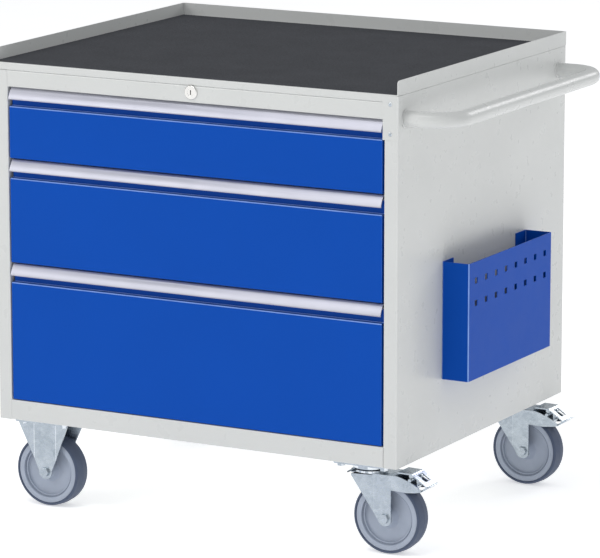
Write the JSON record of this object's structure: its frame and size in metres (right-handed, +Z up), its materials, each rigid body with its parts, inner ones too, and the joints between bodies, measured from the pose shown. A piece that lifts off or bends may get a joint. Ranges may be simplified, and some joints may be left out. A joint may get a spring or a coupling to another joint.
{
  "type": "mobile drawer workbench",
  "caption": "Mobile steel workbench with a rubber-topped tray, lockable full-extension drawers, push handle, side tool pocket, and fixed and braked swivel castors.",
  "frame": {"origin": "on the floor under the middle of the whole part's box at rest, drawers closed", "axes": "+X to the right as seen from the drawers, towards the push handle; +Y to the back; +Z up"},
  "size_m": [0.8654, 0.647, 0.8],
  "materials": {
    "grey_paint": "light grey powder coat, fine texture",
    "blue_paint": "blue powder coat, fine texture",
    "drawer_steel": "light grey painted sheet",
    "grip_aluminium": "anodised, satin",
    "zinc": "bright zinc plate",
    "nickel": "nickel plate",
    "mat_rubber": "fine ribbed rubber",
    "rim_plastic": "moulded, satin",
    "tyre_rubber": "grey non-marking rubber"
  },
  "bodies": {
    "cabinet": {"side_left": "grey_paint", "side_right": "grey_paint", "back_panel": "grey_paint", "back_screws": "zinc", "base_pan": "grey_paint", "top_rail": "grey_paint", "slide_posts": "zinc", "worktop_tray": "grey_paint", "rubber_mat": "mat_rubber", "handle_tube": "grey_paint", "corner_bracket": "grey_paint", "bracket_rivets": "zinc", "side_pocket": "blue_paint", "pocket_rivets": "blue_paint", "castor_bolts": "zinc", "fixed_axles": "zinc", "slide_outers": "zinc", "lock_housing": "nickel", "fixed_front_bracket": "zinc", "fixed_rear_bracket": "zinc", "swivel_front_head": "zinc", "swivel_rear_head": "zinc"},
    "lock_plug": {"lock_plug": "nickel"},
    "lock_link": {"lock_link": "zinc"},
    "lock_bar": {"lock_bar": "zinc"},
    "top_drawer": {"top_drawer_tray": "drawer_steel", "top_drawer_walls": "drawer_steel", "top_drawer_front": "blue_paint", "top_drawer_grip": "grip_aluminium", "top_drawer_catch": "zinc", "top_drawer_slide_inner": "zinc"},
    "top_drawer_slides": {"top_drawer_slide_middle": "zinc"},
    "middle_drawer": {"middle_drawer_tray": "drawer_steel", "middle_drawer_walls": "drawer_steel", "middle_drawer_front": "blue_paint", "middle_drawer_grip": "grip_aluminium", "middle_drawer_catch": "zinc", "middle_drawer_slide_inner": "zinc"},
    "middle_drawer_slides": {"middle_drawer_slide_middle": "zinc"},
    "bottom_drawer": {"bottom_drawer_tray": "drawer_steel", "bottom_drawer_walls": "drawer_steel", "bottom_drawer_front": "blue_paint", "bottom_drawer_grip": "grip_aluminium", "bottom_drawer_catch": "zinc", "bottom_drawer_slide_inner": "zinc"},
    "bottom_drawer_slides": {"bottom_drawer_slide_middle": "zinc"},
    "fixed_front_wheel": {"fixed_front_rim": "rim_plastic", "fixed_front_tyre": "tyre_rubber"},
    "fixed_rear_wheel": {"fixed_rear_rim": "rim_plastic", "fixed_rear_tyre": "tyre_rubber"},
    "swivel_front": {"swivel_front_fork": "zinc", "swivel_front_axle": "zinc"},
    "swivel_front_wheel": {"swivel_front_rim": "rim_plastic", "swivel_front_tyre": "tyre_rubber"},
    "swivel_front_brake": {"swivel_front_pedal": "zinc"},
    "swivel_rear": {"swivel_rear_fork": "zinc", "swivel_rear_axle": "zinc"},
    "swivel_rear_wheel": {"swivel_rear_rim": "rim_plastic", "swivel_rear_tyre": "tyre_rubber"},
    "swivel_rear_brake": {"swivel_rear_pedal": "zinc"}
  },
  "joints": [
    {"name": "lock_turn", "type": "hinge", "parent": "cabinet", "child": "lock_plug", "pos_m": [-0.04775, -0.3185, 0.7525], "axis": [0, -1, 0], "range_deg": [0, 90]},
    {"name": "lock_link_slide", "type": "slide", "parent": "cabinet", "child": "lock_link", "axis": [1, 0, 0], "range_m": [0, 0.0142]},
    {"name": "lock_bar_lift", "type": "slide", "parent": "cabinet", "child": "lock_bar", "axis": [0, 0, 1], "range_m": [0, 0.01414]},
    {"name": "top_drawer_pull", "type": "slide", "parent": "cabinet", "child": "top_drawer", "axis": [0, -1, 0], "range_m": [0, 0.53]},
    {"name": "top_slide_follow", "type": "slide", "parent": "cabinet", "child": "top_drawer_slides", "axis": [0, -1, 0], "range_m": [0, 0.265]},
    {"name": "middle_drawer_pull", "type": "slide", "parent": "cabinet", "child": "middle_drawer", "axis": [0, -1, 0], "range_m": [0, 0.53]},
    {"name": "middle_slide_follow", "type": "slide", "parent": "cabinet", "child": "middle_drawer_slides", "axis": [0, -1, 0], "range_m": [0, 0.265]},
    {"name": "bottom_drawer_pull", "type": "slide", "parent": "cabinet", "child": "bottom_drawer", "axis": [0, -1, 0], "range_m": [0, 0.53]},
    {"name": "bottom_slide_follow", "type": "slide", "parent": "cabinet", "child": "bottom_drawer_slides", "axis": [0, -1, 0], "range_m": [0, 0.265]},
    {"name": "fixed_front_roll", "type": "hinge", "parent": "cabinet", "child": "fixed_front_wheel", "pos_m": [-0.35675, -0.2705, 0.0625], "axis": [0, 1, 0], "continuous": true},
    {"name": "fixed_rear_roll", "type": "hinge", "parent": "cabinet", "child": "fixed_rear_wheel", "pos_m": [-0.35675, 0.2575, 0.0625], "axis": [0, 1, 0], "continuous": true},
    {"name": "swivel_front_turn", "type": "hinge", "parent": "cabinet", "child": "swivel_front", "pos_m": [0.26525, -0.2705, 0.14], "axis": [0, 0, 1], "continuous": true},
    {"name": "swivel_front_roll", "type": "hinge", "parent": "swivel_front", "child": "swivel_front_wheel", "pos_m": [0.30325, -0.2705, 0.0625], "axis": [0, 1, 0], "continuous": true},
    {"name": "swivel_front_press", "type": "hinge", "parent": "swivel_front", "child": "swivel_front_brake", "pos_m": [0.34925, -0.2705, 0.1325], "axis": [0, 1, 0], "range_deg": [0, 10]},
    {"name": "swivel_rear_turn", "type": "hinge", "parent": "cabinet", "child": "swivel_rear", "pos_m": [0.26525, 0.2575, 0.14], "axis": [0, 0, 1], "continuous": true},
    {"name": "swivel_rear_roll", "type": "hinge", "parent": "swivel_rear", "child": "swivel_rear_wheel", "pos_m": [0.30325, 0.2575, 0.0625], "axis": [0, 1, 0], "continuous": true},
    {"name": "swivel_rear_press", "type": "hinge", "parent": "swivel_rear", "child": "swivel_rear_brake", "pos_m": [0.34925, 0.2575, 0.1325], "axis": [0, 1, 0], "range_deg": [0, 10]}
  ],
  "couplings": [
    {"joint": "lock_turn", "follows": "lock_bar_lift", "rad_per_m": 111.07},
    {"joint": "lock_link_slide", "follows": "lock_bar_lift", "ratio": 1},
    {"joint": "top_slide_follow", "follows": "top_drawer_pull", "ratio": 0.5},
    {"joint": "middle_slide_follow", "follows": "middle_drawer_pull", "ratio": 0.5},
    {"joint": "bottom_slide_follow", "follows": "bottom_drawer_pull", "ratio": 0.5}
  ]
}
